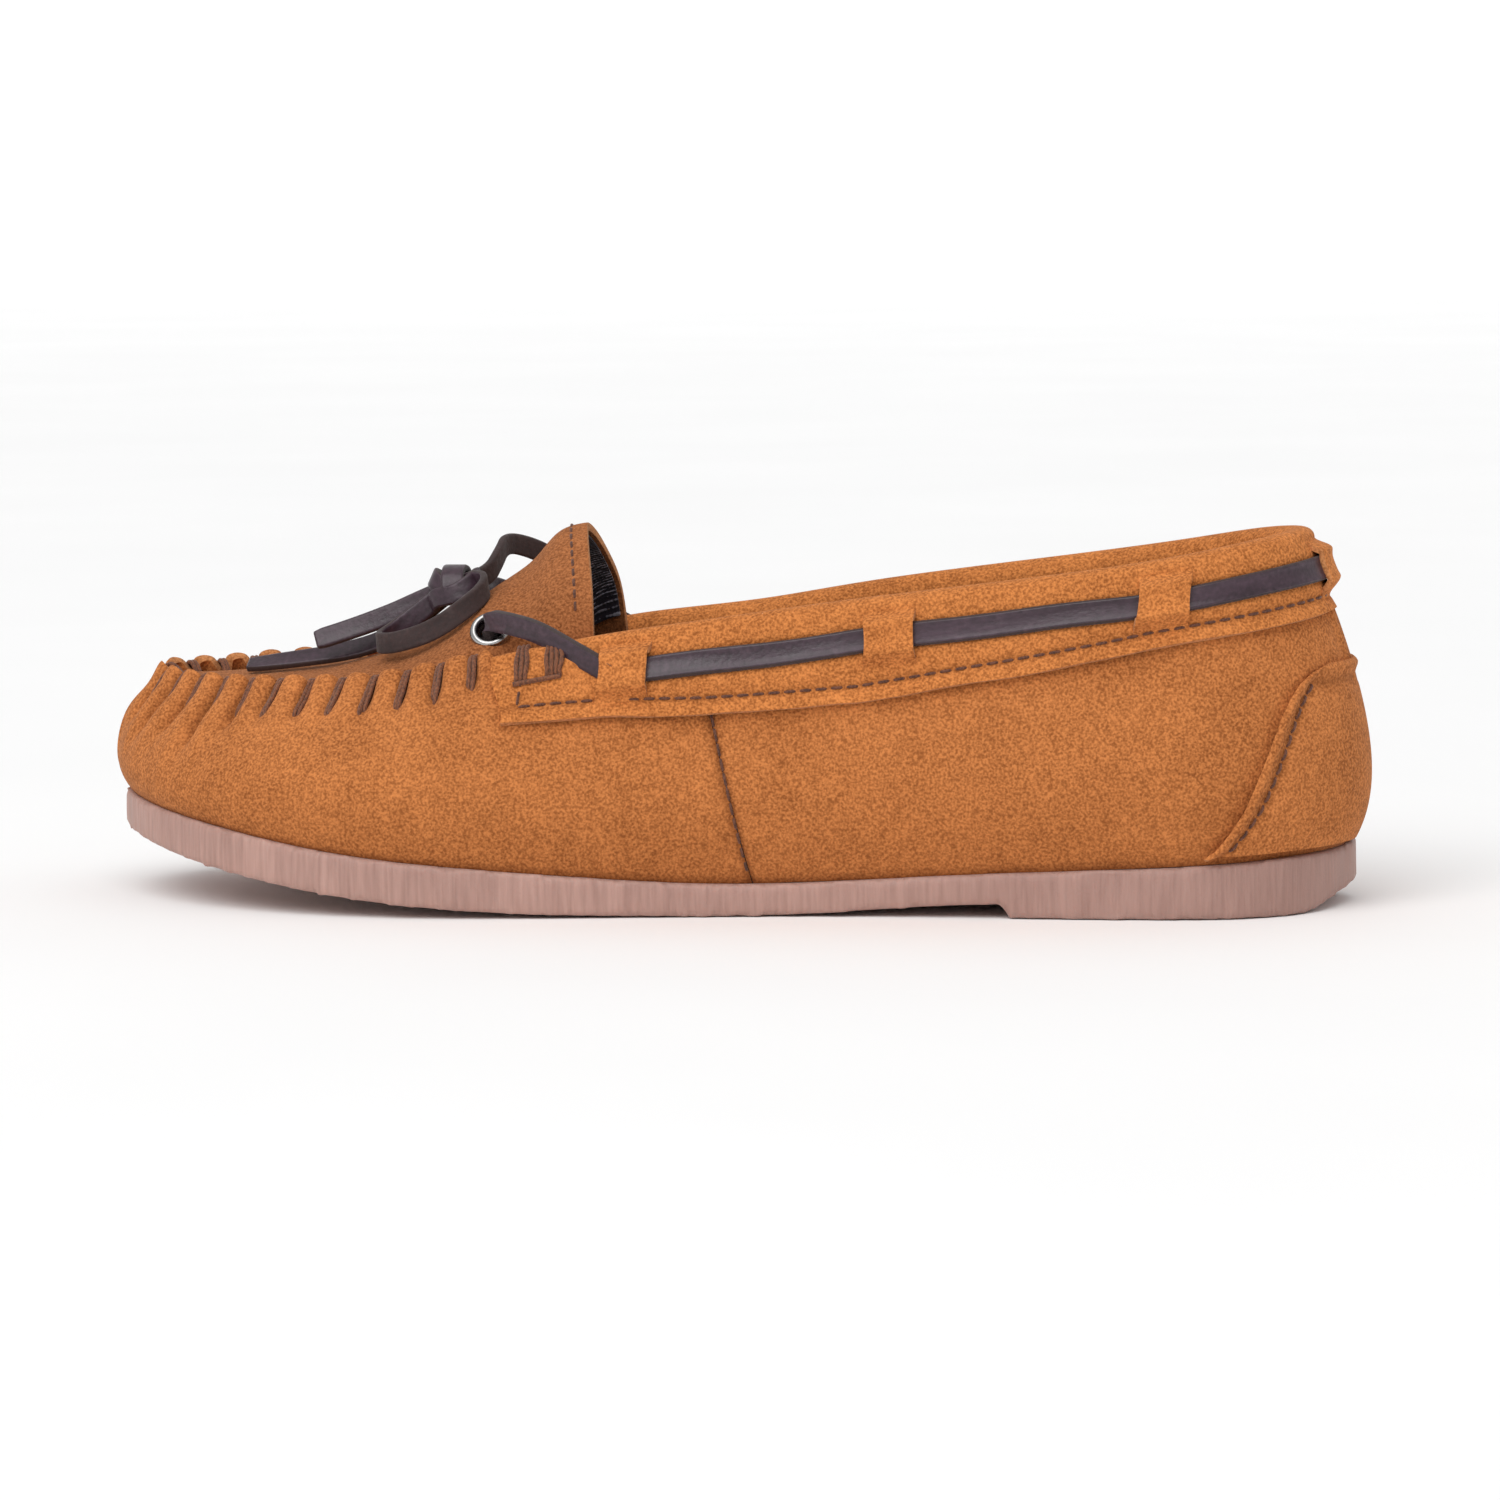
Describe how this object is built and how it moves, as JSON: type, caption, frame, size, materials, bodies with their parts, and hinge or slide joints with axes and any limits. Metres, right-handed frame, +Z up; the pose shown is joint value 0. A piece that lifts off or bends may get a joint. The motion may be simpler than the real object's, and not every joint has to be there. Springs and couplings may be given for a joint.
{
  "type": "moccasin shoe",
  "caption": "Low slip-on moccasin for the left foot: gathered suede wall and apron, laced collar with a tied bow, lined tongue and a one-piece crepe sole with a low heel.",
  "frame": {"origin": "on the ground under the middle of the shoe", "axes": "+X towards the heel, -X towards the toe, +Z up, -Y the outer side and +Y the inner side of a left shoe"},
  "size_m": [0.2561, 0.0871, 0.0747],
  "materials": {
    "suede": "napped suede, ochre brown",
    "collar_suede": "napped suede, ochre brown",
    "lace_leather": "smooth waxed dark brown leather strap",
    "crepe": "milky pinkish brown crepe",
    "nickel": "bright nickel, lightly worn",
    "thread": "waxed brown thread",
    "plaid_lining": "dark woven cloth with fine pale stripes",
    "board": "pressed fibre board",
    "foam": "soft foam"
  },
  "bodies": {
    "root": {"outsole": "crepe", "insole_board": "board", "footbed_cushion": "foam", "sock_lining": "plaid_lining", "vamp_wrap": "suede", "vamp_lining": "plaid_lining", "quarter_lateral": "suede", "quarter_medial": "suede", "quarter_lining": "plaid_lining", "heel_counter": "suede", "heel_stiffener": "board", "collar_band": "collar_suede", "apron_plug": "suede", "tongue_lining": "plaid_lining", "eyelet_lateral": "nickel", "eyelet_medial": "nickel", "lace_collar_run": "lace_leather", "collar_lace_loops": "collar_suede", "lace_lead_lateral": "lace_leather", "lace_lead_medial": "lace_leather", "lace_underpass_lateral": "lace_leather", "lace_underpass_medial": "lace_leather", "bow_loop_near": "lace_leather", "bow_loop_far": "lace_leather", "bow_tail_upper": "lace_leather", "bow_tail_lower": "lace_leather", "bow_knot": "lace_leather", "apron_stitches": "thread", "collar_stitches": "thread", "side_seam_stitches": "thread", "counter_stitches": "thread", "tongue_stitches": "thread", "bar_tack_lateral": "thread", "bar_tack_medial": "thread"}
  },
  "joints": []
}
